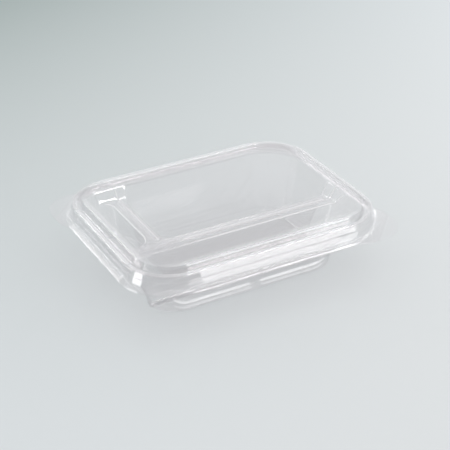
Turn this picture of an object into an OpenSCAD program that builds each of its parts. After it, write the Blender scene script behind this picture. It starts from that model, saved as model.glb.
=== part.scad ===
// Side dish container: a three-compartment tray of clear sheet with a press-on lid.
// Millimetres, +Z up. The origin is the centre of the foot, on the surface that the tray stands on.
// The long side runs along X, and the long front compartment is on the -Y side.

/* [Outline] */
// Length of the raised ring of the lid, outside
ring_l = 189; // [170:1:230]
// Width of the raised ring of the lid, outside
ring_w = 144.6; // [130:1:180]
// Corner radius of the ring in plan
ring_r = 34; // [30:1:42]
// How far the lip of both pieces stands out from the ring
lip_out = 3.3; // [2.4:0.1:6]

/* [Sheet] */
// Thickness of the tray sheet
tray_sheet = 0.5; // [0.3:0.05:0.8]
// Thickness of the lid sheet
lid_sheet = 0.5; // [0.3:0.05:0.8]
// Clearance between the two pieces where their walls run side by side
wall_gap = 0.4; // [0.3:0.05:0.8]
// Clearance between the two lips
lip_gap = 0.3; // [0.3:0.05:1]

/* [Heights above the table] */
// Top of the bead of the tray, on which the lid rests
bead_z = 46.7; // [40:0.5:60]
// Drop from the top of the bead to the outer edge of the tray lip
lip_drop = 11.3; // [9:0.1:14]
// Drop from the top of the bead to the ledge from which the compartments hang
ledge_drop = 3.1; // [3:0.1:5]
// Drop from the top of the bead to the crest of the dividers
crest_drop = 10.8; // [6:0.1:25]
// Height of the plateau of the lid above its ring
plateau_rise = 2.7; // [1:0.1:8]
// Depth of the channel inside the ring of the lid
channel_drop = 2.65; // [1.5:0.05:2.8]

/* [Rim] */
// Width of the bead of the tray at its top, over both legs
bead_w = 3.1; // [2.6:0.1:4]
// Radius of the two upper edges of the ring of the lid
ring_edge_r = 1.4; // [1:0.1:1.6]
// Radius of the edge of the plateau
plateau_edge_r = 0.6; // [0.3:0.1:1.5]
// How far the wall between the channel and the plateau leans in
plateau_lean = 1.2; // [0.4:0.1:2]
// Height of the turned-down edge of the tray lip
lip_turn = 1.2; // [0.6:0.1:3]
// Width of the slope of the lips
lip_run = 2.9; // [1.8:0.1:5]
// Rise of the lips over that slope
lip_rise = 1.3; // [0.5:0.1:2]
// Size of the step half-way up the skirt of the lid
skirt_step = 0.6; // [0.2:0.1:0.8]
// Drop from the top of the ring to the step in the skirt
skirt_step_drop = 4.6; // [3:0.1:6]
// Width of the channel of the lid at its bottom
channel_w = 2.2; // [1.5:0.1:5]

/* [Compartments] */
// Inset of the compartments from the ring at the ledge
cup_inset = 8.6; // [8:0.1:14]
// Length of the flat foot
foot_l = 140.4; // [128:0.1:160]
// Width of the flat foot
foot_w = 87.6; // [84:0.1:110]
// Corner radius of the foot, above its slanted edge
foot_r = 21.2; // [16:0.1:25]
// Height of the slanted edge round each floor
foot_edge_h = 6; // [2:0.1:8]
// Width of the slanted edge round each floor
foot_edge_w = 1.2; // [1:0.1:4]
// How far the floor of the small left compartment lies above the others
left_floor_rise = 14; // [8:0.5:20]
// Corner radius of a compartment against a divider, at the ledge
inner_r = 9; // [7:0.5:11]
// Corner radius of a compartment against a divider, at its floor
floor_r = 5.6; // [4.5:0.1:6.4]
// Front edge of the crest of the long divider
long_crest_y = -20.8; // [-26:0.1:-14]
// Left edge of the crest of the short divider
short_crest_x = -59.5; // [-62:0.1:0]
// Width of the crest of both dividers
crest_w = 7.1; // [5:0.1:10]
// Width of the low shoulder behind the long crest
long_shoulder_w = 7.2; // [3:0.1:9]
// Width of the low shoulder beside the short crest
short_shoulder_w = 3.6; // [2:0.1:8]
// Depth of the shoulders below the crests
shoulder_drop = 0.9; // [0.5:0.1:2]
// Draft angle of the divider walls
divider_draft = 5; // [2:0.5:8]
// Horizontal length of the ramp at each end of a divider
ramp_l = 6; // [4:0.5:12]

/* [Front flute] */
// Radius of the upright flute in the front wall
flute_r = 3.2; // [2:0.1:5]
// Height of the flute
flute_h = 11; // [6:0.5:20]
// Place of the flute along the front wall
flute_x = 3.8; // [-20:0.1:20]

/* [Corner tabs] */
// How far the lid tab stands out past the lip along X and Y
lid_tab_out = 4.6; // [3:0.1:8]
// Radius of the tip of the lid tab
lid_tab_r = 20; // [8:0.5:26]
// How far the tray tab stands out past the lip along X and Y
tray_tab_out = 3.6; // [2:0.1:6]
// Size of the slanted corner of the tray tab
tray_tab_cut = 24; // [18:0.5:30]
// Length of each tab along the side of the lip
tab_l = 38; // [32:1:44]

/* [Hidden] */
$fn = 96;
// Facets of a pin in the corner of a compartment, and steps round an outer corner
pin_fn = 32;
corner_pins = 5;
// A hair of overlap that makes a cut pass through a face
hair = 0.02;
// Length by which a cut passes through a face
cut_over = 1;
// Angle of one step of a rounded edge in the sections
arc_step = 22.5;

ring_z = bead_z + lid_sheet;
ledge_z = bead_z - ledge_drop;
crest_z = bead_z - crest_drop;
shoulder_z = crest_z - shoulder_drop;
plateau_z = ring_z + plateau_rise;
channel_z = ring_z - channel_drop;
tray_lip_z = bead_z - lip_drop;
// A slanted lip is thicker upright than across
lip_slant = sqrt(1 + pow(lip_rise / lip_run, 2));
lid_lip_z = tray_lip_z + lip_gap + lid_sheet * lip_slant;

// Distances inwards from the outside of the ring
bead_out = skirt_step + lid_sheet + wall_gap;
bead_in = bead_out + bead_w;
channel_out = bead_in + wall_gap + lid_sheet;
channel_in = channel_out + channel_w;
plateau_in = channel_in + plateau_lean;
bead_edge_r = 0.9;
// Flat width over which a rim and its middle plate overlap
seam = 2;

// Outline of the compartments at the ledge
cup_l = ring_l - 2 * cup_inset;
cup_w = ring_w - 2 * cup_inset;
cup_r = ring_r - cup_inset;
// Height over which the outer walls taper, and how far they lean out for each unit of it
wall_h = ledge_z - foot_edge_h - tray_sheet;
taper_x = ((cup_l - foot_l) / 2 - foot_edge_w) / wall_h;
taper_y = ((cup_w - foot_w) / 2 - foot_edge_w) / wall_h;
taper_r = (cup_r - foot_r) / wall_h;
draft = tan(divider_draft);
// Edges of the back compartments along the shoulders of the dividers
back_front_y = long_crest_y + crest_w + long_shoulder_w;
wide_left_x = short_crest_x + crest_w + short_shoulder_w;
// The ramps of the dividers end this far inside the outline of the compartments
ramp_inset = 0.5;
long_half = cup_l / 2 - ramp_inset;
short_half = cup_w / 2 - ramp_inset;
// Strips that the dividers take up, with the rounded corners of the compartments beside them
long_wide = [long_crest_y - inner_r, long_crest_y + crest_w + long_shoulder_w + inner_r];
short_wide = [short_crest_x - inner_r, short_crest_x + crest_w + short_shoulder_w + inner_r];
crest_mid_y = long_crest_y + crest_w / 2;

// The tabs reach this far in over the flat of the lip, and overlap its edge by this much
tab_root = 8;
tab_overlap = 0.5;
// Length along the side over which each tab leaves the lip
lid_tab_lead = 6;
tray_tab_lead = 4;
// The flute starts this far below the slanted edge of the foot
flute_below = flute_h / 2;

function unit(v) = v / norm(v);
// Unit vector to the left of the step from one point of a path to the next
function left_of(path, i) = let (v = unit(path[i + 1] - path[i])) [-v[1], v[0]];
// Offset of a path's point to the left, mitred between its two steps
function mitre(path, i) =
    i == 0 ? left_of(path, 0) :
    i == len(path) - 1 ? left_of(path, i - 1) :
    let (a = left_of(path, i - 1), b = left_of(path, i)) (a + b) / (1 + a * b);
// Closed section of a sheet: a path, and the same path moved to its left by the thickness
function sheet(path, thick) =
    concat(path, [for (i = [len(path) - 1:-1:0]) path[i] + thick * mitre(path, i)]);
// Points of an arc, in equal steps
function arc(c, r, from, to) =
    let (n = round(abs(to - from) / arc_step))
    [for (i = [0:n]) c + r * [cos(from + (to - from) * i / n), sin(from + (to - from) * i / n)]];

// Carries a section round a rounded rectangle. X of the section is 0 on the corner axis.
module carry_round(l, w, r) {
    cx = l / 2 - r;
    cy = w / 2 - r;
    for (turn = [0, 180]) {
        rotate(turn) {
            translate([cx, cy, 0]) rotate([90, 0, 0]) linear_extrude(2 * cy) children();
            translate([cx, cy, 0]) rotate_extrude(angle = 90) children();
            rotate(90) translate([cy, cx, 0]) rotate([90, 0, 0]) linear_extrude(2 * cx) children();
            translate([-cx, cy, 0]) rotate(90) rotate_extrude(angle = 90) children();
        }
    }
}

// Prism on a rounded rectangle
module round_prism(l, w, r, z0, z1) {
    for (x = [-1, 1], y = [-1, 1]) {
        translate([x * (l / 2 - r), y * (w / 2 - r), z0]) cylinder(r = r, h = z1 - z0);
    }
    translate([-l / 2, -(w / 2 - r), z0]) cube([l, w - 2 * r, z1 - z0]);
    translate([-(l / 2 - r), -w / 2, z0]) cube([l - 2 * r, w, z1 - z0]);
}

// Flat plate inside a rim. It overlaps the flat inner end of the rim's section, which starts seam further in.
module middle_plate(inset, z, thick) {
    at = inset + seam / 2;
    round_prism(ring_l - 2 * at, ring_w - 2 * at, ring_r - at, z - thick, z);
}

// Section of the tray rim from the ledge out to the turned-down lip, as its upper surface
function tray_rim() = concat(
    [[-bead_in - seam, ledge_z], [-bead_in, ledge_z]],
    arc([-bead_in + bead_edge_r, bead_z - bead_edge_r], bead_edge_r, 180, 90),
    arc([-bead_out - bead_edge_r, bead_z - bead_edge_r], bead_edge_r, 90, 0),
    [[-bead_out, tray_lip_z + lip_rise + lip_rise / lip_run * (bead_out - (lip_out - lip_run))]],
    [[lip_out, tray_lip_z]],
    [[lip_out, tray_lip_z - lip_turn]]);

// Section of the lid from the middle of its plateau out to the lip, as its upper surface
function lid_rim() = concat(
    [[-plateau_in - plateau_edge_r - seam, plateau_z]],
    arc([-plateau_in - plateau_edge_r, plateau_z - plateau_edge_r], plateau_edge_r, 90, 0),
    [[-channel_in, channel_z]],
    [[-channel_out, channel_z]],
    arc([-channel_out + ring_edge_r, ring_z - ring_edge_r], ring_edge_r, 180, 90),
    arc([-skirt_step - ring_edge_r, ring_z - ring_edge_r], ring_edge_r, 90, 0),
    [[-skirt_step, ring_z - skirt_step_drop]],
    [[0, ring_z - skirt_step_drop - skirt_step]],
    [[lip_out - lip_run, lid_lip_z + lip_rise]],
    [[lip_out, lid_lip_z]]);

// Radius of the pins that round a compartment against the dividers, at a height
function pin_r(z, floor_z) =
    floor_r + (inner_r - floor_r) * (z - floor_z) / (ledge_z - floor_z);
// Place of a divider wall at a height. It leans towards its own side, dir.
function divider_side(edge, dir, z) = edge + dir * draft * (z - shoulder_z);

// Pin centres that round one outer corner. qx and qy are the signs of the corner.
// The pins stop at the lines x = xl and y = yl, where a divider cuts the corner short.
function outer_corner(z, r, qx, qy, xl, yl) =
    let (
        corner_r = cup_r + taper_r * (z - ledge_z),
        axis = [qx * (cup_l / 2 + taper_x * (z - ledge_z) - corner_r),
                qy * (cup_w / 2 + taper_y * (z - ledge_z) - corner_r)],
        swing = corner_r - r,
        from = asin(max(0, qy * (yl - axis[1])) / swing),
        to = acos(max(0, qx * (xl - axis[0])) / swing))
    concat(
        [[axis[0] + qx * swing * cos(from), yl]],
        [for (i = [0:corner_pins])
            let (a = from + (to - from) * i / corner_pins) axis + swing * [qx * cos(a), qy * sin(a)]],
        [[xl, axis[1] + qy * swing * sin(to)]]);

// Pin centres of each compartment at a height
function front_pins(z, r) =
    let (yl = divider_side(long_crest_y, 1, z) - r)
    concat(outer_corner(z, r, -1, -1, 0, yl), outer_corner(z, r, 1, -1, 0, yl));
function wide_pins(z, r) =
    let (xl = divider_side(wide_left_x, -1, z) + r, yl = divider_side(back_front_y, -1, z) + r)
    concat(outer_corner(z, r, 1, 1, xl, yl), [[xl, yl]]);
function left_pins(z, r) =
    let (xl = divider_side(short_crest_x, 1, z) - r, yl = divider_side(back_front_y, -1, z) + r)
    concat(outer_corner(z, r, -1, 1, xl, yl), [[xl, yl]]);
function pins_of(kind, z, r) =
    kind == "front" ? front_pins(z, r) : kind == "wide" ? wide_pins(z, r) : left_pins(z, r);

// A layer of upright pins with the outline of the walls at height z, put sink lower and made thinner by cut
module pin_layer(kind, z, floor_z, grow, h, sink = 0, cut = 0) {
    r = pin_r(z, floor_z);
    for (c = pins_of(kind, z, r)) {
        translate([c[0], c[1], z - sink - grow]) cylinder(r = r + grow - cut, h = h, $fn = pin_fn);
    }
}

// A compartment as a solid: its hollow when grow is 0, its outside when grow is the sheet
module compartment(kind, grow) {
    floor_z = tray_sheet + (kind == "left" ? left_floor_rise : 0);
    edge_z = floor_z + foot_edge_h;
    hull() {
        pin_layer(kind, edge_z, floor_z, grow, hair, foot_edge_h, foot_edge_w);
        pin_layer(kind, edge_z, floor_z, grow, hair);
        pin_layer(kind, ledge_z, floor_z, grow, grow > 0 ? hair : cut_over);
    }
}

// Path along the top of a divider: down a ramp, level, and up a ramp again
function divider_path(half, z) = [
    [-half - cut_over, ledge_z], [-half, ledge_z], [-half + ramp_l, z],
    [half - ramp_l, z], [half, ledge_z], [half + cut_over, ledge_z]];

// Turns a section drawn along X and Z so that it is extruded along Y
module along_y(y0, y1) {
    translate([0, y1, 0]) rotate([90, 0, 0]) linear_extrude(y1 - y0) children();
}

// Turns a section drawn along Y and Z so that it is extruded along X
module along_x(x0, x1) {
    translate([x0, 0, 0]) rotate([90, 0, 90]) linear_extrude(x1 - x0) children();
}

// Space above the dividers, down to a level
module above_dividers(z) {
    along_y(long_wide[0], long_wide[1]) polygon(concat(
        [for (p = divider_path(long_half, z)) if (abs(p[0]) <= long_half) p],
        [[long_half, ledge_z + cut_over], [-long_half, ledge_z + cut_over]]));
    along_x(short_wide[0], short_wide[1]) polygon(concat(
        [[crest_mid_y, z]],
        [for (p = divider_path(short_half, z)) if (p[0] > 0 && p[0] <= short_half) p],
        [[short_half, ledge_z + cut_over], [crest_mid_y, ledge_z + cut_over]]));
}

// Level sheet with ramped ends that closes the dividers at the top
module divider_sheet() {
    along_y(long_wide[0], long_wide[1]) polygon(sheet(divider_path(long_half, shoulder_z), -tray_sheet));
    along_x(short_wide[0], short_wide[1]) polygon(sheet(
        concat([[crest_mid_y, shoulder_z]], [for (p = divider_path(short_half, shoulder_z)) if (p[0] > 0) p]),
        -tray_sheet));
}

// Raised crests on the dividers. The hollow under them is the same shape, a sheet lower.
module crests(inset, drop, below) {
    along_y(long_crest_y + inset, long_crest_y + crest_w - inset) polygon(concat(
        [for (p = divider_path(long_half, crest_z)) if (abs(p[0]) < long_half) p - [0, drop]],
        [[long_half - ramp_l, shoulder_z - below], [-long_half + ramp_l, shoulder_z - below]]));
    along_x(short_crest_x + inset, short_crest_x + crest_w - inset) polygon([
        [crest_mid_y, crest_z - drop], [short_half - ramp_l, crest_z - drop],
        [short_half - ramp_l, shoulder_z - below], [crest_mid_y, shoulder_z - below]]);
}

// Upright flute in the front wall, grown by the sheet for the bulge that it makes inside
module flute(grow) {
    translate([flute_x, -foot_w / 2 - foot_edge_w, foot_edge_h]) rotate([atan(taper_y), 0, 0])
        translate([0, 0, -flute_below]) cylinder(r = flute_r + grow, h = flute_below + flute_h + grow);
}

// Tab outline in the front right corner of the lip
function tab_edge(out, tip) =
    let (x = ring_l / 2 + lip_out, y = -ring_w / 2 - lip_out)
    concat([[x - tab_root, y + tab_l], [x, y + tab_l]], tip, [[x - tab_l, y], [x - tab_l, y + tab_root]]);
lid_tab_tip =
    let (x = ring_l / 2 + lip_out + lid_tab_out, y = -ring_w / 2 - lip_out - lid_tab_out, r = lid_tab_r)
    concat([[x, y + tab_l - lid_tab_lead]], arc([x - r, y + r], r, 0, -90), [[x - tab_l + lid_tab_lead, y]]);
tray_tab_tip =
    let (x = ring_l / 2 + lip_out + tray_tab_out, y = -ring_w / 2 - lip_out - tray_tab_out, c = tray_tab_cut)
    [[x, y + tab_l - tray_tab_lead], [x, y + c], [x - c, y], [x - tab_l + tray_tab_lead, y]];

// The same tab on two opposite corners, cut off where the lip begins
module tabs(edge, z, thick) {
    grow = lip_out - tab_overlap;
    difference() {
        for (turn = [0, 180]) {
            rotate(turn) translate([0, 0, z - thick]) linear_extrude(thick) polygon(edge);
        }
        round_prism(ring_l + 2 * grow, ring_w + 2 * grow, ring_r + grow, z - thick - cut_over, z + cut_over);
    }
}

module tray_body() {
    difference() {
        union() {
            difference() {
                union() {
                    carry_round(ring_l, ring_w, ring_r)
                        translate([ring_r, 0]) polygon(sheet(tray_rim(), -tray_sheet));
                    middle_plate(bead_in, ledge_z, tray_sheet);
                    compartment("front", tray_sheet);
                    compartment("left", tray_sheet);
                    compartment("wide", tray_sheet);
                }
                above_dividers(shoulder_z);
            }
            divider_sheet();
            crests(0, 0, tray_sheet);
        }
        crests(tray_sheet, tray_sheet, tray_sheet + hair);
        compartment("front", 0);
        compartment("left", 0);
        compartment("wide", 0);
    }
}

module tray() {
    color("lightcyan", 0.5) {
        difference() {
            union() {
                tray_body();
                intersection() {
                    flute(tray_sheet);
                    compartment("front", tray_sheet);
                }
            }
            flute(0);
        }
        tabs(tab_edge(tray_tab_out, tray_tab_tip), tray_lip_z, tray_sheet);
    }
}

module lid() {
    color("azure", 0.4) {
        carry_round(ring_l, ring_w, ring_r) translate([ring_r, 0]) polygon(sheet(lid_rim(), -lid_sheet));
        middle_plate(plateau_in + plateau_edge_r, plateau_z, lid_sheet);
        tabs(tab_edge(lid_tab_out, lid_tab_tip), lid_lip_z, lid_sheet);
    }
}

tray();
lid();
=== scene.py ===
"""Clear side dish container: a tray with three compartments and a press-on lid.

Each is one thin clear sheet. Its upper surface is worked out first and then given its thickness."""

import math

import bpy
import numpy as np
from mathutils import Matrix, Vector
from mathutils.geometry import delaunay_2d_cdt


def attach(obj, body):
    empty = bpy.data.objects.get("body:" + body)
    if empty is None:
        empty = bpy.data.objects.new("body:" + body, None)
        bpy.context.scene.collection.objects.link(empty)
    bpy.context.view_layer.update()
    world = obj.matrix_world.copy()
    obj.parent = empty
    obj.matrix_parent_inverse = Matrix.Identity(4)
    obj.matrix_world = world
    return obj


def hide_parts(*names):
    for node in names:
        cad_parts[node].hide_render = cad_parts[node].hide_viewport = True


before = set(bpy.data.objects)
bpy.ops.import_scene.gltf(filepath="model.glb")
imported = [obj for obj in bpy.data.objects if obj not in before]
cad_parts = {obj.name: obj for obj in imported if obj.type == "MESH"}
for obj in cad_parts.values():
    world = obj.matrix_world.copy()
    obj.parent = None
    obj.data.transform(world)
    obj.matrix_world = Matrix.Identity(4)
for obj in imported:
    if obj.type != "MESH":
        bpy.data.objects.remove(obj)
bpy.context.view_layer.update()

# Sizes in millimetres, as on the part. A section is drawn as distance and height: outwards from the outside
# of the ring, and above the table.
MM = 0.001
RING_L = 189.0  # ring, outside, along x
RING_W = 144.6  # ring, outside, along y
RING_R = 34.0  # ring, outside, corners
LIP_OUT = 3.3  # both lips, past the ring
SHEET = 0.5  # thickness of both sheets
WALL_GAP = 0.4  # clearance between the walls of lid and tray
LIP_GAP = 0.3  # clearance between the lips
BEAD_Z = 46.7  # top of the tray's bead, on which the ring rests
LIP_DROP = 11.3  # tray's lip, below the bead's top
LEDGE_DROP = 3.1  # tray's ledge, below the bead's top
CREST_DROP = 10.8  # crests of the dividers, below the bead's top
PLATEAU_RISE = 2.7  # lid's plateau, above the ring
PLATEAU_LEAN = 1.2  # how far the plateau's wall leans in
CHANNEL_DROP = 2.65  # lid's channel, below the ring
CHANNEL_W = 2.2  # lid's channel, width of its floor
BEAD_W = 3.1  # tray's bead, width over both legs
BEAD_R = 0.9  # rounds of the bead
RING_EDGE_R = 1.4  # rounds of the ring
PLATEAU_EDGE_R = 0.6  # round of the plateau's edge
LIP_TURN = 1.2  # how far the tray's lip turns down at its edge
LIP_RUN = 2.9  # slope of the lips, across
LIP_RISE = 1.3  # slope of the lips, up
SKIRT_STEP = 0.6  # step in the lid's skirt
SKIRT_STEP_DROP = 4.6  # that step, below the ring's top
CUP_INSET = 8.6  # outer walls of the compartments at the ledge, in from the ring
FOOT_L = 140.4  # foot, along x
FOOT_W = 87.6  # foot, along y
FOOT_R = 21.2  # foot, corners
FOOT_EDGE_H = 6.0  # steep band round the foot, height
FOOT_EDGE_W = 1.2  # steep band round the foot, how far it leans
LEFT_RISE = 14.0  # raised floor of the left compartment
INNER_R = 9.0  # corners of the compartments beside the dividers, at the ledge
FLOOR_R = 5.6  # the same corners, at the floor
LONG_CREST_Y = -20.8  # front edge of the long divider's crest
SHORT_CREST_X = -59.5  # left edge of the short divider's crest
CREST_W = 7.1  # crests of the dividers, width
LONG_SHOULDER_W = 7.2  # lower shoulder behind the long divider's crest
SHORT_SHOULDER_W = 3.6  # lower shoulder to the right of the short divider's crest
SHOULDER_DROP = 0.9  # shoulders, below the crests
DIVIDER_DRAFT = math.radians(5)  # walls of the dividers, from upright
RAMP_L = 6.0  # ramps from the ledge down to the dividers
RAMP_INSET = 0.5  # their upper ends, in from the compartments' outer walls
FLUTE_R = 3.2  # flute in the front wall, radius
FLUTE_H = 11.0  # flute, height
FLUTE_X = 3.8  # flute, place along x
LID_TAB_OUT = 4.6  # lid's tabs, past the lip
LID_TAB_R = 20.0  # lid's tabs, radius of their corner
TRAY_TAB_OUT = 3.6  # tray's tabs, past the lip
TRAY_TAB_CUT = 24.0  # tray's tabs, slanted corner
TAB_L = 38.0  # all tabs, along each side

# Heights, and distances inwards from the outside of the ring, that follow from them
RING_Z = BEAD_Z + SHEET
LEDGE_Z = BEAD_Z - LEDGE_DROP
CREST_Z = BEAD_Z - CREST_DROP
SHOULDER_Z = CREST_Z - SHOULDER_DROP
PLATEAU_Z = RING_Z + PLATEAU_RISE
CHANNEL_Z = RING_Z - CHANNEL_DROP
TRAY_LIP_Z = BEAD_Z - LIP_DROP
LID_LIP_Z = TRAY_LIP_Z + LIP_GAP + SHEET * math.hypot(1, LIP_RISE / LIP_RUN)
LIP_SLOPE = LIP_RISE / LIP_RUN
BEAD_OUT = SKIRT_STEP + SHEET + WALL_GAP
BEAD_IN = BEAD_OUT + BEAD_W
CHANNEL_OUT = BEAD_IN + WALL_GAP + SHEET
CHANNEL_IN = CHANNEL_OUT + CHANNEL_W
PLATEAU_IN = CHANNEL_IN + PLATEAU_LEAN

# Half length, half width and corners of the compartments' outline at the ledge
CUP_X = RING_L / 2 - CUP_INSET
CUP_Y = RING_W / 2 - CUP_INSET
CUP_R = RING_R - CUP_INSET
WALL_H = LEDGE_Z - FOOT_EDGE_H - SHEET
# How far the compartments' outer walls lean out for each unit of height
TAPER_X = (CUP_X - FOOT_L / 2 - FOOT_EDGE_W) / WALL_H
TAPER_Y = (CUP_Y - FOOT_W / 2 - FOOT_EDGE_W) / WALL_H
TAPER_R = (CUP_R - FOOT_R) / WALL_H
# Edges of the compartments behind the long divider and to the right of the short one
BACK_Y = LONG_CREST_Y + CREST_W + LONG_SHOULDER_W
WIDE_X = SHORT_CREST_X + CREST_W + SHORT_SHOULDER_W

# In the scene alone: the lean of the skirt and the bead, and small rounds
SKIRT_LEAN = 0.65
EDGE_ROUND = 0.7  # where a compartment meets the sheet round it
FOOT_ROUND = 1.2  # at both bends of the foot's steep band
CHANNEL_ROUND = 0.6
STEP_ROUND = 0.3
LEDGE_ROUND = 0.5
LID_LIP_ROUND = 0.5
TRAY_LIP_ROUND = 0.6


def unit(v):
    """Rows of v divided by their lengths."""
    return v / np.linalg.norm(v, axis=-1, keepdims=True)


def rounded(before, corner, after, radius, steps=5):
    """Points of the arc of that radius that touches both lines corner-before and corner-after, as steps + 1
    rows. With u and v the directions to before and after and phi the angle between them, the arc's centre is
    at corner + unit(u + v) * radius / sin(phi / 2), and its points swing from one line to the other."""
    u, v = unit(before - corner), unit(after - corner)
    half = np.arccos(np.clip((u * v).sum(-1, keepdims=True), -1, 1)) / 2
    centre = corner + unit(u + v) * radius / np.sin(half)
    first = corner + u * radius / np.tan(half) - centre
    last = corner + v * radius / np.tan(half) - centre
    swing = np.pi - 2 * half
    share = np.linspace(0, 1, steps + 1).reshape((-1,) + (1,) * corner.ndim)
    return centre + (np.sin((1 - share) * swing) * first + np.sin(share * swing) * last) / np.sin(swing)


def section(corners, radii, support=0.25):
    """A section as rows of (distance, height): each inner corner becomes an arc of its radius, and the
    straight runs between arcs get a point near each end, so that smooth shading stays flat on them."""
    corners = np.array(corners, float)
    rows = [corners[:1]]
    for i, radius in enumerate(radii, 1):
        rows.append(rounded(corners[i - 1], corners[i], corners[i + 1], radius))
    rows.append(corners[-1:])
    out = [rows[0]]
    for a, b in zip(rows, rows[1:]):
        run = np.linalg.norm(b[0] - a[-1])
        if run > 3 * support:
            step = (b[0] - a[-1]) / run * support
            out.append(np.array([a[-1] + step, b[0] - step]))
        out.append(b)
    return np.concatenate(out)


def stations(corner_steps=28, side_steps=6):
    """Places round the ring, counter-clockwise, as rows of (axis x, axis y, angle). In a corner the axis
    stays and the angle sweeps a quarter turn. Along a side the angle stays and the axis moves, more slowly
    near the corners."""
    cx, cy = RING_L / 2 - RING_R, RING_W / 2 - RING_R
    axes = np.array([[cx, cy], [-cx, cy], [-cx, -cy], [cx, -cy]])
    quarter = np.linspace(0, np.pi / 2, corner_steps + 1)
    ease = (1 - np.cos(np.linspace(0, np.pi, side_steps + 1)[1:-1])) / 2
    rows = []
    for k in range(4):
        rows.append(np.column_stack([np.tile(axes[k], (len(quarter), 1)), quarter + k * np.pi / 2]))
        along = axes[k] + np.outer(ease, axes[(k + 1) % 4] - axes[k])
        rows.append(np.column_stack([along, np.full(len(ease), (k + 1) * np.pi / 2)]))
    return np.concatenate(rows)


def with_edge(rim, rows):
    """The rim's section at every place, then the rows of its edge. Each of those is a pair of distances and
    heights that change from place to place."""
    edge = np.stack([np.stack(row, -1) for row in rows], 1)
    return np.concatenate([np.broadcast_to(rim, (len(edge),) + rim.shape), edge], 1)


def carried(profile, places):
    """A section carried round the ring: point = axis + (corner radius + distance) * (cos angle, sin angle),
    at its height. profile is (places, rows, 2)."""
    reach = RING_R + profile[..., 0]
    x = places[:, None, 0] + reach * np.cos(places[:, None, 2])
    y = places[:, None, 1] + reach * np.sin(places[:, None, 2])
    return np.stack([x, y, profile[..., 1]], -1)


def tab_reach(places, tip, slack=0.001):
    """How far past the ring's outside each place's outline lies: the lip, or the tab where that reaches
    further. The ray from the axis at the place's angle meets each side of the tab, and the furthest hit
    counts. The tab is on the front right corner, and on the back left one turned by half a turn."""
    x, y = RING_L / 2 + LIP_OUT, -RING_W / 2 - LIP_OUT
    outline = np.array([[x, y + TAB_L]] + tip + [[x - TAB_L, y]])
    out = np.full(len(places), LIP_OUT)
    ray = np.column_stack([np.cos(places[:, 2]), np.sin(places[:, 2])])
    for turned in (outline, -outline):
        a, side = turned[:-1], np.diff(turned, axis=0)
        to_a = a[None] - places[:, None, :2]
        cross = ray[:, None, 0] * side[None, :, 1] - ray[:, None, 1] * side[None, :, 0]
        cross = np.where(np.abs(cross) < 1e-9, 1e-9, cross)
        reach = (to_a[..., 0] * side[None, :, 1] - to_a[..., 1] * side[None, :, 0]) / cross
        share = (to_a[..., 0] * ray[:, None, 1] - to_a[..., 1] * ray[:, None, 0]) / cross
        hit = np.where((share > -slack) & (share < 1 + slack) & (reach > 0), reach, 0)
        out = np.maximum(out, hit.max(1) - RING_R)
    return out


def lid_tab_tip():
    """The lid tab's outline: two sides parallel to the lip's, joined by a quarter circle."""
    x, y, r = RING_L / 2 + LIP_OUT + LID_TAB_OUT, -RING_W / 2 - LIP_OUT - LID_TAB_OUT, LID_TAB_R
    lead = 6
    turn = np.linspace(0, -np.pi / 2, 9)
    bend = np.column_stack([x - r + r * np.cos(turn), y + r + r * np.sin(turn)])
    return [[x, y + TAB_L - lead]] + bend.tolist() + [[x - TAB_L + lead, y]]


def tray_tab_tip():
    """The tray tab's outline: two sides parallel to the lip's, with a slanted corner."""
    x, y, cut = RING_L / 2 + LIP_OUT + TRAY_TAB_OUT, -RING_W / 2 - LIP_OUT - TRAY_TAB_OUT, TRAY_TAB_CUT
    lead = 4
    return [[x, y + TAB_L - lead], [x, y + cut], [x - cut, y], [x - TAB_L + lead, y]]


class Surface:
    """One open surface gathered from grids and flat faces, in millimetres, with a share of 0 to 1 at each
    point that says how strong the painted highlight on the sheet's fold is there."""

    def __init__(self):
        self.points, self.faces, self.bends, self.count = [], [], [], 0

    def add(self, points, faces, bend=0.0):
        """Adds points, and faces that number them from 0."""
        self.points.append(points.reshape(-1, 3))
        self.bends.append(np.broadcast_to(bend, points.shape[:-1]).reshape(-1))
        self.faces += [np.add(face, self.count).tolist() for face in faces]
        self.count += len(self.points[-1])

    def grid(self, points, bend=0.0):
        """Adds a grid of points (rows, columns, 3) whose last row meets its first, with its faces upwards."""
        rows, cols = points.shape[:2]
        r = np.arange(rows)[:, None]
        c = np.arange(cols - 1)[None]
        a, b = r * cols + c, (r + 1) % rows * cols + c
        self.add(points, np.stack([a + 1, b + 1, b, a], -1).reshape(-1, 4), bend)


def welded(points, faces, bends, apart=1e-4):
    """The same surface with the points that lie together made one."""
    key = np.round(points / apart).astype(np.int64)
    _, first, same = np.unique(key, axis=0, return_index=True, return_inverse=True)
    same = same.reshape(-1)
    out = []
    for face in faces:
        corners = same[face].tolist()
        corners = [v for k, v in enumerate(corners) if v != corners[k - 1]]
        if len(corners) > 2:
            out.append(corners)
    merged = np.zeros(len(first))
    np.maximum.at(merged, same, bends)
    return points[first], out, merged


def column(items, key, width, kind=float):
    """One property of a mesh's items as an array, with width values to a row."""
    out = np.empty(len(items) * width, kind)
    items.foreach_get(key, out)
    return out.reshape(-1, width) if width > 1 else out


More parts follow.
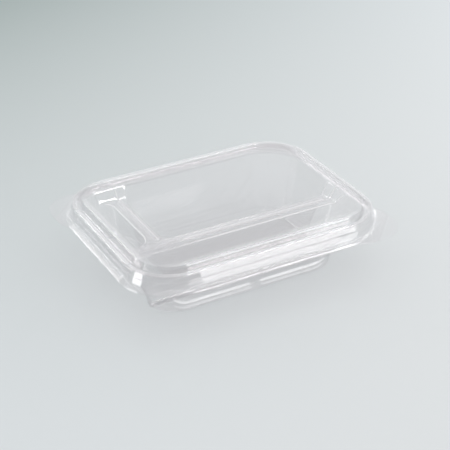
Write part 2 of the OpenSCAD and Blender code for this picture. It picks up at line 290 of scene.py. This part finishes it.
def thickened(name, surface, thick):
    """A closed sheet from its upper surface: the same surface moved down its normals by the thickness, turned
    over, with a strip along each free edge. A point's normal is the mean of its faces' normals weighted by
    area and corner, stretched so that both faces keep the thickness."""
    points, faces, bends = welded(
        np.concatenate(surface.points), surface.faces, np.concatenate(surface.bends))
    mesh = bpy.data.meshes.new(name)
    mesh.from_pydata((points * MM).tolist(), [], faces)
    mesh.validate()
    normals = column(mesh.vertices, "normal", 3)
    face_normals = column(mesh.polygons, "normal", 3)
    loops = column(mesh.loops, "vertex_index", 1, np.int64)
    sizes = column(mesh.polygons, "loop_total", 1, np.int64)
    owner = np.repeat(np.arange(len(sizes)), sizes)
    lean = np.ones(len(normals))
    np.minimum.at(lean, loops, (normals[loops] * face_normals[owner]).sum(1))
    most_stretch = 0.6
    below = points - normals * (thick / np.clip(lean, most_stretch, 1))[:, None]
    below[:, 2] = np.maximum(below[:, 2], 0)  # nothing reaches below the table

    # An edge that only one face runs along is free
    faces = [list(p.vertices) for p in mesh.polygons]
    edges = dict.fromkeys((a, b) for face in faces for a, b in zip(face, face[1:] + face[:1]))
    free = [(a, b) for a, b in edges if (b, a) not in edges]
    count = len(points)
    closed = faces + [[i + count for i in reversed(face)] for face in faces]
    closed += [[b, a, a + count, b + count] for a, b in free]
    mesh.clear_geometry()
    mesh.from_pydata((np.concatenate([points, below]) * MM).tolist(), [], closed)
    mesh.validate()
    mesh.polygons.foreach_set("use_smooth", [True] * len(mesh.polygons))
    mesh.set_sharp_from_angle(angle=math.radians(38))
    # The painted highlight share of each point, in a map of its own
    share = np.concatenate([bends, bends])[column(mesh.loops, "vertex_index", 1, np.int64)]
    highlight_map = mesh.uv_layers.new(name="bend")
    highlight_map.uv.foreach_set("vector", np.column_stack([share, np.zeros_like(share)]).ravel())
    mesh.update()
    piece = bpy.data.objects.new(name, mesh)
    bpy.context.scene.collection.objects.link(piece)
    return piece


def near(value, at, width):
    """1 close to at, falling to 0 over width: the rule 1 + margin - distance / width, held within 0 and 1."""
    margin = 0.3
    return np.clip(1 + margin - np.abs(value - at) / width, 0, 1)


# Lid
def lid_surface():
    """The lid's upper surface: its section from the plateau out to the lip, carried round the ring, with the
    plateau filled in. Where the tab is, the last flat part of the section runs out to the tab's outline. The
    ring's top and the plateau's edge get painted highlights, brightest along the sides and weaker in the
    corners."""
    places = stations()
    plateau_run, lip_edge = 6, 0.3
    rim = section(
        [[-PLATEAU_IN - plateau_run, PLATEAU_Z],
         [-PLATEAU_IN, PLATEAU_Z],
         [-CHANNEL_IN, CHANNEL_Z],
         [-CHANNEL_OUT, CHANNEL_Z],
         [-CHANNEL_OUT, RING_Z],
         [-SKIRT_STEP - 1.5 * SKIRT_LEAN, RING_Z],
         [-SKIRT_STEP - 0.5 * SKIRT_LEAN, RING_Z - SKIRT_STEP_DROP],
         [-0.5 * SKIRT_LEAN, RING_Z - SKIRT_STEP_DROP - SKIRT_STEP],
         [LIP_OUT - LIP_RUN, LID_LIP_Z + LIP_RISE],
         [LIP_OUT - lip_edge, LID_LIP_Z + lip_edge * LIP_SLOPE]],
        [PLATEAU_EDGE_R, CHANNEL_ROUND, CHANNEL_ROUND, RING_EDGE_R, RING_EDGE_R,
         STEP_ROUND, STEP_ROUND, LID_LIP_ROUND])
    reach = tab_reach(places, lid_tab_tip())
    flat = np.full_like(reach, LID_LIP_Z)
    points = carried(with_edge(rim, [(np.full_like(reach, LIP_OUT - 0.05), flat),
                                     (np.maximum(reach - 0.2, LIP_OUT), flat),
                                     (reach + 0.01, flat)]), places)
    # Painted highlights on the ring's top and the plateau's edge
    brightest_highlight, corner_loss = 0.4, 0.8
    edges = np.maximum(near(rim[:, 1], RING_Z, 0.5) * (rim[:, 0] > -CHANNEL_OUT - 0.5),
                       near(rim[:, 1], PLATEAU_Z, 0.4) * (rim[:, 0] > -PLATEAU_IN - 0.8))
    along = 1 - corner_loss * np.abs(np.sin(2 * places[:, 2]))
    bend = np.zeros(points.shape[:2])
    bend[:, :len(rim)] = brightest_highlight * along[:, None] * edges
    surface = Surface()
    surface.grid(points, bend)
    surface.add(points[:, 0], [range(len(places))])
    return surface


# Tray
def floor_height(kind):
    """Height of a compartment's floor, on its upper side."""
    return SHEET + (LEFT_RISE if kind == "left" else 0)


def linked(arc, end, steps=16):
    """An arc's points with those of the straight stretch from it to the next arc, closer together near its
    ends. Where the two arcs touch, the shared point is left to the next one."""
    if np.linalg.norm(end - arc[-1]) < 1e-6:
        return arc[:-1]
    share = (1 - np.cos(np.linspace(0, np.pi, steps + 1)[1:-1])) / 2
    return np.concatenate([arc, arc[-1] + share[:, None] * (end - arc[-1])])


def outline(kind, z, inset=0.0, large=30, small=12):
    """Outline of a compartment at height z, moved in by inset: arcs about axes that follow the taper of the
    walls. The outer corners have the corner radius. Where a divider cuts one short, or meets a wall, a
    smaller arc rounds the compartment instead. Its axis lies on a circle about the outer corner's axis, so
    the arcs touch. large and small are the steps in the arcs of each kind."""
    floor = floor_height(kind)
    height = max(z, floor + FOOT_EDGE_H)
    r = FLOOR_R + (INNER_R - FLOOR_R) * (height - floor) / (LEDGE_Z - floor)
    corner_r = CUP_R + TAPER_R * (height - LEDGE_Z)
    ax = CUP_X + TAPER_X * (height - LEDGE_Z) - corner_r
    ay = CUP_Y + TAPER_Y * (height - LEDGE_Z) - corner_r
    swing = corner_r - r
    lean = math.tan(DIVIDER_DRAFT) * (height - SHOULDER_Z)
    if kind == "front":
        yl = LONG_CREST_Y + lean - r
        arcs = [(-ax - swing, yl, r, 90, 180, small), (-ax, -ay, corner_r, 180, 270, large),
                (ax, -ay, corner_r, 270, 360, large), (ax + swing, yl, r, 0, 90, small)]
    elif kind == "wide":
        xl, yl = WIDE_X - lean + r, BACK_Y - lean + r
        arcs = [(xl, yl, r, 180, 270, small), (ax + swing, yl, r, 270, 360, small),
                (ax, ay, corner_r, 0, 90, large), (xl, ay + swing, r, 90, 180, small)]
    else:
        xl, yl = SHORT_CREST_X + lean - r, BACK_Y - lean + r
        to = math.degrees(math.acos(max(0.0, -xl - ax) / swing))
        arcs = [(-ax - swing, yl, r, 180, 270, small), (xl, yl, r, 270, 360, small),
                (xl, ay + swing * math.sin(math.radians(to)), r, 0, 180 - to, small),
                (-ax, ay, corner_r, 180 - to, 180, 20)]
    rows = []
    for x, y, radius, start, stop, steps in arcs:
        turn = np.radians(np.linspace(start, stop, steps + 1))
        reach = radius - inset
        rows.append(np.column_stack([x + reach * np.cos(turn), y + reach * np.sin(turn)]))
    return np.concatenate([linked(a, b[0]) for a, b in zip(rows, rows[1:] + rows[:1])])


def eased(t, width):
    """A ramp from 0 to 1 over t from 0 to 1, with its two bends rounded over width: the mean of the plain
    ramp over t - width to t + width."""
    def area(s):
        """Area under the plain ramp up to s."""
        return np.where(s < 0, 0, np.where(s < 1, s * s / 2, s - 0.5))
    return (area(t + width) - area(t - width)) / (2 * width)


def land_height(x, y):
    """Height of the flat sheet between the compartments: the ledge, with the dividers let into it. Along each
    divider a ramp leads down from the ledge at its ends, to the crest within the crest's strip and to the
    shoulder beside it."""
    step_w, step_round, ramp_round, margin = 0.4, 0.3, 0.12, 0.5
    crest_long = 1 - eased((y - LONG_CREST_Y - CREST_W + step_w / 2) / step_w, step_round)
    crest_short = 1 - eased((x - SHORT_CREST_X - CREST_W + step_w / 2) / step_w, step_round)
    level_long = SHOULDER_Z + SHOULDER_DROP * crest_long
    level_short = SHOULDER_Z + SHOULDER_DROP * crest_short
    down_long = eased((CUP_X - RAMP_INSET - np.abs(x)) / RAMP_L, ramp_round)
    down_short = eased((CUP_Y - RAMP_INSET - y) / RAMP_L, ramp_round)
    z_long = LEDGE_Z + (level_long - LEDGE_Z) * down_long
    z_short = LEDGE_Z + (level_short - LEDGE_Z) * down_short
    in_long = (y > LONG_CREST_Y - INNER_R - margin) & (y < BACK_Y + INNER_R + margin)
    in_short = (x > SHORT_CREST_X - INNER_R - margin) & (x < WIDE_X + INNER_R + margin) & (y > BACK_Y)
    z = np.where(in_long, z_long, LEDGE_Z)
    z = np.where(in_short & ~in_long, z_short, z)
    z = np.where(in_short & in_long, np.minimum(z, z_short), z)
    junction = (x > SHORT_CREST_X - margin) & (x < WIDE_X + margin) & (y > LONG_CREST_Y + CREST_W / 2)
    return np.where(junction, np.maximum(np.where(in_long, z_long, 0), z_short), z)


def compartment(kind):
    """A compartment's inner surface as a grid (points round the outline, rows from the floor to the land).
    Each point of the outline climbs its wall to where the wall meets the land above it, and a small round
    leads over."""
    floor = floor_height(kind)
    levels = np.linspace(floor + FOOT_EDGE_H, LEDGE_Z, 40)
    gap = levels[1] - levels[0]
    stack = np.stack([outline(kind, z) for z in levels], 1)
    over = levels[None] - land_height(stack[..., 0], stack[..., 1])
    last = (over >= -1e-9).argmax(1).clip(1, len(levels) - 1)
    each = np.arange(len(stack))
    low, high = over[each, last - 1], over[each, last]
    rim_z = levels[last - 1] + np.clip(low / (low - high), 0, 1) * gap

    def at(z):
        """Point of each wall at its own height z."""
        place = (np.clip(z, levels[0], levels[-1]) - levels[0]) / gap
        k = np.clip(place.astype(int), 0, len(levels) - 2)
        share = (place - k)[:, None]
        return np.column_stack([stack[each, k] * (1 - share) + stack[each, k + 1] * share, z])

    # The rim, and the strip of land round it that belongs to the compartment
    strip, lead = 1.4, 1.6
    rim = at(rim_z)
    tangent = unit(np.roll(rim[:, :2], -1, 0) - np.roll(rim[:, :2], 1, 0))
    beside = rim[:, :2] + np.column_stack([tangent[:, 1], -tangent[:, 0]]) * strip
    beside = np.column_stack([beside, land_height(beside[:, 0], beside[:, 1])])
    top = rounded(at(rim_z - lead), rim, beside, EDGE_ROUND)

    # The floor's edge and the knee above it, with a round in each
    level = np.full(len(rim), floor)
    middle = np.column_stack([outline(kind, floor, FOOT_EDGE_W + lead), level])
    edge = np.column_stack([outline(kind, floor, FOOT_EDGE_W), level])
    knee = at(np.full(len(rim), levels[0]))
    above = at(np.full(len(rim), levels[0] + 3))
    rows = [middle[None], rounded(middle, edge, knee, FOOT_ROUND, 4)]
    rows.append(rounded(edge, knee, above, FOOT_ROUND, 4))
    first, stop = levels[0] + 0.9, rim_z - 1.1
    for share in (0, 0.04, 0.3, 0.7, 0.96, 1):
        rows.append(at(first + share * (stop - first))[None])
    rows += [top, beside[None]]
    points = np.concatenate(rows).transpose(1, 0, 2)
    return fluted(points) if kind == "front" else points


def fluted(points):
    """The front wall pressed in along an upright half-round flute: each point of the wall near it moves
    inwards by the height of the flute's circle over it, fading out towards the flute's top."""
    x, y, z = points[..., 0], points[..., 1], points[..., 2]
    across = np.clip(1 - ((x - FLUTE_X) / FLUTE_R) ** 2, 0, 1)
    up = 1 - eased((z - FOOT_EDGE_H - 0.7 * FLUTE_H) / (0.5 * FLUTE_H), 0.4)
    front = y < -FOOT_W / 2 + 4
    points[..., 1] = y + np.where(front, FLUTE_R * np.sqrt(across) * up, 0)
    return points


def past_left_end(x):
    """Weakens the long divider's painted highlights towards its left end, where they hardly show."""
    start, fade, least = -42, 6, 0.15
    return np.clip((x - start) / fade, least, 1)


def cup_bends(points, width=2.5):
    """Painted highlights on the folds of a compartment, as shares: its top edge within that width of a
    divider's edges, and the two edges of its foot."""
    x, y = points[:, -1, 0], points[:, -1, 1]
    along = (np.abs(y - LONG_CREST_Y) < width) + 0.7 * (np.abs(y - BACK_Y) < width)
    across = (np.abs(x - SHORT_CREST_X) < width) + 0.4 * (np.abs(x - WIDE_X) < width)
    top = np.maximum(np.maximum(along * past_left_end(x), across * (y > BACK_Y)), 0.1)
    over_round = np.array([0, 0.7, 1, 0.7, 0])
    bend = np.zeros(points.shape[:2])
    bend[:, 1:6] = 0.3 * over_round
    bend[:, 6:11] = 0.2 * over_round
    bend[:, -7:-1] = top[:, None] * np.array([0.4, 1, 1, 1, 1, 0.6])
    return bend


def land_bends(points):
    """Painted highlights on the folds of the flat sheet, as shares: the steps down from the crests to the
    shoulders.
    """
    x, y = points[:, 0], points[:, 1]
    long_step = near(y, LONG_CREST_Y + CREST_W, 0.5) * past_left_end(x)
    short_step = near(x, SHORT_CREST_X + CREST_W, 0.5) * (y > BACK_Y)
    return np.maximum(long_step, short_step)


def inside(points, ring):
    """True for each point that lies inside a closed outline: a line from it to the right crosses the outline
    an odd number of times."""
    x, y = points[:, 0, None], points[:, 1, None]
    ax, ay = ring[:, 0], ring[:, 1]
    bx, by = np.roll(ax, -1), np.roll(ay, -1)
    spans = (ay > y) != (by > y)
    at = ax + (y - ay) / np.where(by == ay, 1e-12, by - ay) * (bx - ax)
    return (spans & (x < at)).sum(1) % 2 == 1


def crossed(xs, ys):
    """Points at every crossing of the lines x and y."""
    return np.stack(np.meshgrid(xs, ys), -1).reshape(-1, 2)


def land_points():
    """Points of the flat sheet that its height needs: lines along the steps of both dividers and along the
    long divider's crest, and a fine grid over the ramps at the dividers' ends."""
    coarse, fine, margin, ramp = 1.5, 0.8, 0.5, 8
    long_step, short_step = LONG_CREST_Y + CREST_W, SHORT_CREST_X + CREST_W
    offsets = (-0.45, -0.3, -0.2, -0.1, 0, 0.15)
    xs = np.arange(-CUP_X + coarse, CUP_X - coarse + 0.1, coarse)
    ys = np.arange(long_step + 1, CUP_Y - coarse + 0.1, coarse)
    lines = [np.column_stack([xs, np.full_like(xs, long_step + offset)]) for offset in offsets]
    lines += [np.column_stack([np.full_like(ys, short_step + offset), ys]) for offset in offsets]
    ends = np.arange(CUP_X - ramp, CUP_X + margin, fine)
    lines.append(crossed(np.concatenate([-ends, ends]),
                         np.arange(LONG_CREST_Y - INNER_R, BACK_Y + INNER_R, fine)))
    lines.append(crossed(np.arange(SHORT_CREST_X - INNER_R, WIDE_X + INNER_R, fine),
                         np.arange(CUP_Y - ramp, CUP_Y + margin, fine)))
    lines.append(np.column_stack([xs, np.full_like(xs, LONG_CREST_Y + CREST_W / 2)]))
    return np.concatenate(lines)


def land(rings, outer):
    """The flat sheet between the compartments, as triangles: all of its edges are joined by a Delaunay mesh,
    with the points that its height needs, and the triangles over a compartment are left out."""
    extra = land_points()
    keep = inside(extra, outer)
    for ring in rings:
        centre = ring.mean(0)
        keep &= ~inside(extra, centre + (ring - centre) * 1.012)
    loops = [outer] + rings
    edges, start = [], 0
    for loop in loops:
        n = len(loop)
        edges += [(start + i, start + (i + 1) % n) for i in range(n)]
        start += n
    points = np.concatenate(loops + [extra[keep]])
    verts, _, faces, *_ = delaunay_2d_cdt([Vector(p) for p in points], edges, [], 0, 1e-5, False)
    verts, faces = np.array([tuple(v) for v in verts]), np.array(faces)
    centres = verts[faces].mean(1)
    keep = inside(centres, outer)
    for ring in rings:
        keep &= ~inside(centres, ring)
    faces = faces[keep]
    a, b, c = verts[faces[:, 0]], verts[faces[:, 1]], verts[faces[:, 2]]
    area = (b[:, 0] - a[:, 0]) * (c[:, 1] - a[:, 1]) - (b[:, 1] - a[:, 1]) * (c[:, 0] - a[:, 0])
    faces[area < 0] = faces[area < 0][:, ::-1]
    return np.column_stack([verts, land_height(verts[:, 0], verts[:, 1])]), faces[np.abs(area) > 1e-7]


def tray_surface():
    """The tray's upper surface: its rim section carried round, the sheet between the compartments, and the
    compartments. They meet point by point, so that they close into one sheet. At the tabs the lip's edge
    runs out flat, and elsewhere it turns down."""
    places = stations()
    ledge_run, lip_edge, turn_r = 1.6, 0.6, 0.3
    foot_of_wall = TRAY_LIP_Z + LIP_RISE + LIP_SLOPE * (BEAD_OUT - (LIP_OUT - LIP_RUN))
    rim = section(
        [[-BEAD_IN - ledge_run, LEDGE_Z],
         [-BEAD_IN, LEDGE_Z],
         [-BEAD_IN, BEAD_Z],
         [-BEAD_OUT - 1.5 * SKIRT_LEAN, BEAD_Z],
         [-BEAD_OUT - 0.5 * SKIRT_LEAN, BEAD_Z - SKIRT_STEP_DROP],
         [-BEAD_OUT, foot_of_wall],
         [LIP_OUT - lip_edge, TRAY_LIP_Z + lip_edge * LIP_SLOPE]],
        [LEDGE_ROUND, BEAD_R, BEAD_R, STEP_ROUND, TRAY_LIP_ROUND])
    reach = tab_reach(places, tray_tab_tip())
    flat = np.full_like(reach, TRAY_LIP_Z)
    turned = 1 - np.clip((reach - LIP_OUT) / 1.5, 0, 1)
    points = carried(with_edge(rim, [(np.full_like(reach, LIP_OUT - turn_r), flat + 0.02),
                                     (np.maximum(reach - turn_r, LIP_OUT - turn_r + 0.02), flat),
                                     (reach - 0.1, flat - 0.06 * turned),
                                     (reach, flat - turn_r * turned - 0.02),
                                     (reach, flat - LIP_TURN * turned - 0.04)]), places)
    surface = Surface()
    surface.grid(points)
    rings = []
    for kind in ("front", "wide", "left"):
        cup = compartment(kind)
        surface.grid(cup, cup_bends(cup))
        surface.add(cup[:, 0], [range(len(cup))])
        rings.append(cup[:, -1, :2])
    verts, faces = land(rings, points[:, 0, :2])
    surface.add(verts, faces, land_bends(verts))
    return surface


lid = thickened("lid_sheet", lid_surface(), SHEET)
tray = thickened("tray_sheet", tray_surface(), SHEET)
for piece, body in ((lid, "lid"), (tray, "tray")):
    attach(piece, body)
    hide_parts(body)


# Materials
class Sock:
    """A node's output, with operators that add Math nodes, so that shader maths reads as expressions."""

    def __init__(self, tree, socket):
        self.tree, self.socket = tree, socket

    def math(self, operation, other=0.0):
        """One Math node of that operation on this value and another."""
        return make(self.tree, "ShaderNodeMath", {"operation": operation}, [self, other])

    def __add__(self, other):
        return self.math("ADD", other)

    __radd__ = __add__

    def __mul__(self, other):
        return self.math("MULTIPLY", other)

    __rmul__ = __mul__

    def __sub__(self, other):
        return self.math("SUBTRACT", other)

    def __rsub__(self, other):
        return make(self.tree, "ShaderNodeMath", {"operation": "SUBTRACT"}, [other, self])

    def __pow__(self, other):
        return self.math("POWER", other)


def make(tree, kind, settings, values, output=0):
    """One node of a kind, with its settings set first and then the values or links of its sockets. values is
    a list, or a dictionary by socket name. What comes back is the output of that name or number."""
    node = tree.nodes.new(kind)
    for key, value in settings.items():
        setattr(node, key, value)
    pairs = values.items() if isinstance(values, dict) else enumerate(values)
    for key, value in pairs:
        if isinstance(value, Sock):
            tree.links.new(value.socket, node.inputs[key])
        else:
            node.inputs[key].default_value = value
    return Sock(tree, node.outputs[output]) if len(node.outputs) else None


def new_material(name):
    """An empty node material and its tree."""
    material = bpy.data.materials.new(name)
    material.use_nodes = True
    material.node_tree.nodes.clear()
    return material, material.node_tree


WHITE = (1, 1, 1, 1)
LID_TINT = (0.977, 0.972, 0.974, 1)  # what each face of the lid lets pass, head on
TRAY_TINT = (0.983, 0.98, 0.981, 1)  # what each face of the tray lets pass, head on
SLANT_TINT_AND_SHADE = (0.9, 0.9, 0.91, 1)  # what each face of either lets pass at the steepest slant: a real deeper tint along the longer way through the sheet, and painted shade for the dark edges that refraction gives
HEAD_ON = 0.04  # share of the light that a clear sheet mirrors head on
BEND_HIGHLIGHT = 0.7  # strength of the painted highlight on a fold, at its sharpest
DOTS_FROM, DOTS_TO = 36.4 * MM, 37.8 * MM  # heights between which the lid's lip is embossed


def clear_sheet(name, tint, roughness, dotted=False):
    """Clear sheet: at each face a share of the light is mirrored, little head on and more at a slant by the
    fifth power rule, and the rest passes with a slight tint, which deepens at a slant: partly because the way
    through the sheet is longer, partly as painted shade for the dark edges that refraction gives. Sharp folds
    carry painted highlights: a white diffuse is mixed in by the share in the piece's own map. A dotted sheet
    is embossed with fine dots on its lip."""
    material, tree = new_material(name)
    shine = {"Color": WHITE, "Roughness": roughness}
    if dotted:
        place = make(tree, "ShaderNodeTexCoord", {}, [], "Object")
        height = make(tree, "ShaderNodeSeparateXYZ", {}, [place], "Z")
        dots = make(tree, "ShaderNodeTexVoronoi", {},
                    {"Vector": place, "Scale": 750.0, "Randomness": 0.25}, "Distance")
        band = height.math("GREATER_THAN", DOTS_FROM) * height.math("LESS_THAN", DOTS_TO)
        shine["Normal"] = make(tree, "ShaderNodeBump", {},
                               {"Strength": 0.9, "Distance": 0.5 * MM, "Height": dots * band})
    slant = make(tree, "ShaderNodeLayerWeight", {}, {"Blend": 0.5}, "Facing")
    mirrored = HEAD_ON + (1 - HEAD_ON) * slant ** 5
    through = make(tree, "ShaderNodeBsdfTransparent", {}, {"Color": tint})
    # Deeper tint at a slant, partly real and partly painted shade for the sheet's dark edges
    deep_tint_and_shade = make(tree, "ShaderNodeBsdfTransparent", {}, {"Color": SLANT_TINT_AND_SHADE})
    passed = make(tree, "ShaderNodeMixShader", {}, [slant ** 4, through, deep_tint_and_shade])
    gloss = make(tree, "ShaderNodeBsdfAnisotropic", {}, shine)
    both = make(tree, "ShaderNodeMixShader", {}, [mirrored, passed, gloss])
    # Painted highlights on the folds: a white diffuse mixed in by the share in the map
    share = make(tree, "ShaderNodeUVMap", {"uv_map": "bend"}, [], "UV")
    bend = BEND_HIGHLIGHT * make(tree, "ShaderNodeSeparateXYZ", {}, [share], "X")
    white = make(tree, "ShaderNodeBsdfDiffuse", {}, {"Color": WHITE})
    sheet = make(tree, "ShaderNodeMixShader", {}, [bend, both, white])
    make(tree, "ShaderNodeOutputMaterial", {}, {"Surface": sheet})
    return material


lid.data.materials.append(clear_sheet("clear_lid_sheet", LID_TINT, 0.03, dotted=True))
tray.data.materials.append(clear_sheet("clear_tray_sheet", TRAY_TINT, 0.05))


# Studio, in metres
def plane(name, corners, material):
    """One flat four-sided face with its material, as part of the stage."""
    mesh = bpy.data.meshes.new(name)
    mesh.from_pydata(corners, [], [(0, 1, 2, 3)])
    mesh.materials.append(material)
    piece = bpy.data.objects.new(name, mesh)
    bpy.context.scene.collection.objects.link(piece)
    return piece


def table_material():
    """Pale blue-grey table with painted shade, a fall of light that leaves it darker towards the far left:
    each channel of its colour is a curved slope over the distances to the right and away from the camera,
    both held within the part that the camera sees."""
    middle = (0.717, 0.741, 0.741)  # red, green and blue at the container
    to_right = (0.325, 0.279, 0.275)  # what each metre to the right adds
    to_back = (-0.132, -0.111, -0.123)  # what each metre away adds
    to_both = (0.770, 0.757, 0.840)  # what the product of the two distances adds
    to_far = (-0.233, -0.217, -0.203)  # what the square of the distance away adds
    cos_turn, sin_turn = 0.873, 0.487  # of the photograph's angle
    most_right, most_near, most_far = 0.3, -0.3, 0.6
    material, tree = new_material("table")
    place = make(tree, "ShaderNodeTexCoord", {}, [], "Object")
    x = make(tree, "ShaderNodeSeparateXYZ", {}, [place], "X")
    y = make(tree, "ShaderNodeSeparateXYZ", {}, [place], "Y")
    right = (cos_turn * x - sin_turn * y).math("MAXIMUM", -most_right).math("MINIMUM", most_right)
    away = (sin_turn * x + cos_turn * y).math("MAXIMUM", most_near).math("MINIMUM", most_far)
    channels = [level + across * right + back * away + both * right * away + far * away * away
                for level, across, back, both, far in zip(middle, to_right, to_back, to_both, to_far)]
    colour = make(tree, "ShaderNodeCombineColor", {}, channels)
    surface = make(tree, "ShaderNodeBsdfDiffuse", {}, {"Color": colour})
    make(tree, "ShaderNodeOutputMaterial", {}, {"Surface": surface})
    return material


def lamp(name, corners, strength):
    """A flat white glowing face that is seen and mirrored but doesn't light the table or cast a shadow."""
    material, tree = new_material(name + "_glow")
    light = make(tree, "ShaderNodeEmission", {}, {"Color": WHITE, "Strength": strength})
    make(tree, "ShaderNodeOutputMaterial", {}, {"Surface": light})
    piece = plane(name, corners, material)
    piece.visible_diffuse = False
    piece.visible_shadow = False
    return piece


def panel(name, centre, width, height, strength):
    """A lamp in the air, turned towards the container."""
    centre = Vector(centre)
    toward = (MIDDLE - centre).normalized()
    across = toward.cross(Vector((0, 0, 1))).normalized()
    up = across.cross(toward)
    corners = [centre + across * sx * width / 2 + up * sy * height / 2
               for sx, sy in ((-1, -1), (1, -1), (1, 1), (-1, 1))]
    lamp(name, [tuple(c) for c in corners], strength)


def card(name, corners, strength):
    """A glowing card that lies on the table, and shows only as a reflection in the steep walls."""
    piece = lamp(name, [(x, y, CARD_Z) for x, y in corners], strength)
    piece.visible_camera = False


def foot_card(name, left, right, strength=3.0):
    """A narrow card right in front of the foot, from left to right."""
    near_y, far_y = -0.0466, -0.0456
    card(name, [(left, near_y), (right, near_y), (right, far_y), (left, far_y)], strength)


TABLE_HALF = 6.0  # half the table's side
TABLE_Z = -0.0002  # just under the foot
CARD_Z = 0.0004
MIDDLE = Vector((0, 0, 0.04))  # the middle of the container, which the lamps face
plane("table", [(x * TABLE_HALF, y * TABLE_HALF, TABLE_Z) for x, y in ((-1, -1), (1, -1), (1, 1), (-1, 1))],
      table_material())
panel("top_lamp", (0.45, -0.34, 0.90), 0.7, 0.22, 16.0)
panel("back_lamp", (-1.1, 2.4, 1.5), 0.5, 0.5, 12.0)
panel("upper_back_lamp", (-0.22, 0.84, 0.68), 0.3, 0.16, 2.2)
panel("right_lamp", (0.8, 1.1, 0.26), 1.0, 0.4, 2.6)
card("near_card", [(-0.005, -0.17), (0.02, -0.27), (0.27, -0.27), (0.2, -0.17)], 3.2)
card("far_card", [(0.035, -0.28), (0.075, -0.46), (0.36, -0.46), (0.27, -0.28)], 6.0)
card("lip_card", [(-0.04, -0.15), (0.1, -0.15), (0.1, -0.11), (-0.04, -0.11)], 3.5)
card("left_card", [(-0.26, 0.0), (-0.175, 0.03), (-0.175, 0.26), (-0.26, 0.26)], 4.5)
card("side_card", [(-0.33, -0.07), (-0.13, -0.05), (-0.13, -0.01), (-0.33, -0.01)], 5.0)
foot_card("foot_card_left", -0.062, 0.0)
foot_card("foot_card_right", 0.008, 0.062)

world = bpy.data.worlds.new("room")
bpy.context.scene.world = world
world.use_nodes = True
room = world.node_tree.nodes["Background"]
room.inputs["Color"].default_value = (0.97, 0.985, 1.0, 1)
room.inputs["Strength"].default_value = 1.0

# Camera: at the photograph's angle and distance
AZIMUTH, ELEVATION = math.radians(-29.15), math.radians(30.16)
DISTANCE = 0.8686
LENS = 103.74
TARGET = Vector((-0.01314, -0.02816, 0.0472))
level = math.cos(ELEVATION)
back = Vector((math.sin(AZIMUTH) * level, -math.cos(AZIMUTH) * level, math.sin(ELEVATION)))
lens = bpy.data.cameras.new("camera")
lens.lens = LENS
lens.sensor_width = 36.0
lens.clip_start = 0.01
lens.clip_end = 30
camera = bpy.data.objects.new("camera", lens)
bpy.context.scene.collection.objects.link(camera)
camera.location = TARGET + back * DISTANCE
camera.rotation_euler = back.to_track_quat("Z", "Y").to_euler()
bpy.context.scene.camera = camera

scene = bpy.context.scene
scene.view_settings.view_transform = "Standard"
scene.cycles.transparent_max_bounces = 48
